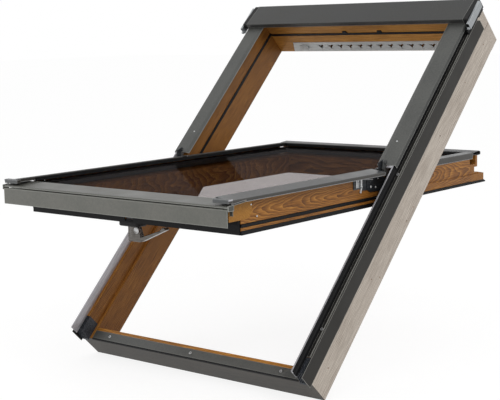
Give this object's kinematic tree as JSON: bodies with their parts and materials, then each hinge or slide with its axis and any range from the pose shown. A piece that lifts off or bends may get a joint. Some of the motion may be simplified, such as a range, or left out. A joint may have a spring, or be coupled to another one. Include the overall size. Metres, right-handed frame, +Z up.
{
  "type": "roof skylight",
  "caption": "Centre-pivot roof skylight in lacquered timber with grey metal cladding, sealed double pane, hinged sash, handle, latch and ventilation strip.",
  "frame": {"origin": "middle of the sill's room-side face", "axes": "+X to the right seen from outside, along the pivot; +Y horizontally into the building; +Z up; the frame lies at a 45 degree roof pitch and the sash rests level"},
  "size_m": [0.798, 1.164, 0.9468],
  "materials": {
    "frame_timber": "clear lacquered pine, amber inside, weathered flank",
    "sash_timber": "clear lacquered pine, amber",
    "gasket": "matt black",
    "frame_cladding": "satin dark grey coating",
    "sash_cladding": "satin grey coating",
    "bright_metal": "satin",
    "zinc": "matt",
    "black_plastic": "fine grain",
    "steel": "zinc plated",
    "satin_metal": "satin",
    "spacer": "dark edge bond",
    "glass": "clear, slightly tinted"
  },
  "bodies": {
    "frame": {"corner_block_left": "black_plastic", "corner_block_right": "black_plastic", "frame_cover_left": "frame_cladding", "frame_cover_right": "frame_cladding", "frame_head": "frame_timber", "frame_seal": "gasket", "frame_sill": "frame_timber", "frame_stile_left": "frame_timber", "frame_stile_right": "frame_timber", "head_clips": "black_plastic", "hinge_bracket_left": "steel", "hinge_bracket_right": "steel", "hinge_pins": "steel", "hood": "frame_cladding", "hood_cap_left": "black_plastic", "hood_cap_right": "black_plastic", "hood_flange_left": "zinc", "hood_flange_right": "zinc", "profile_screws": "steel", "side_band_left": "frame_cladding", "side_band_right": "frame_cladding", "sill_profile": "frame_cladding", "sill_seal": "gasket", "strike_plate": "steel", "upstand_left": "bright_metal", "upstand_right": "bright_metal", "upstand_seal_left": "gasket", "upstand_seal_right": "gasket", "vent_grille": "bright_metal"},
    "sash": {"sash_stile_left": "sash_timber", "sash_stile_right": "sash_timber", "sash_rail_top": "sash_timber", "sash_rail_bottom": "sash_timber", "pane_outer": "glass", "pane_inner": "glass", "glass_spacer": "spacer", "glazing_seal": "gasket", "sash_seal_left": "gasket", "sash_seal_right": "gasket", "lip_seal": "gasket", "sash_cover_low_left": "sash_cladding", "sash_cover_low_right": "sash_cladding", "sash_cover_high_left": "sash_cladding", "sash_cover_high_right": "sash_cladding", "sash_cover_top": "sash_cladding", "bottom_cap": "sash_cladding", "apron": "sash_cladding", "cap_clips": "black_plastic", "hinge_plate_left": "steel", "hinge_plate_right": "steel", "brake_plate_left": "steel", "brake_plate_right": "steel", "handle_base": "black_plastic"},
    "handle": {"handle_lever": "satin_metal"},
    "latch": {"latch_bolt": "steel"},
    "vent": {"vent_shutter": "bright_metal", "vent_knob": "black_plastic"}
  },
  "joints": [
    {"name": "sash_pivot", "type": "hinge", "parent": "frame", "child": "sash", "pos_m": [0, 0.30618, 0.52538], "axis": [1, 0, 0], "range_deg": [-135, 45]},
    {"name": "handle_turn", "type": "hinge", "parent": "sash", "child": "handle", "pos_m": [-0.013, -0.22782, 0.40338], "axis": [0, 0, 1], "range_deg": [0, 90]},
    {"name": "latch_slide", "type": "slide", "parent": "sash", "child": "latch", "axis": [0, -1, 0], "range_m": [0, 0.012]},
    {"name": "vent_slide", "type": "slide", "parent": "frame", "child": "vent", "axis": [1, 0, 0], "range_m": [0, 0.018]}
  ],
  "couplings": [
    {"joint": "latch_slide", "follows": "handle_turn", "m_per_rad": 0.007638}
  ]
}
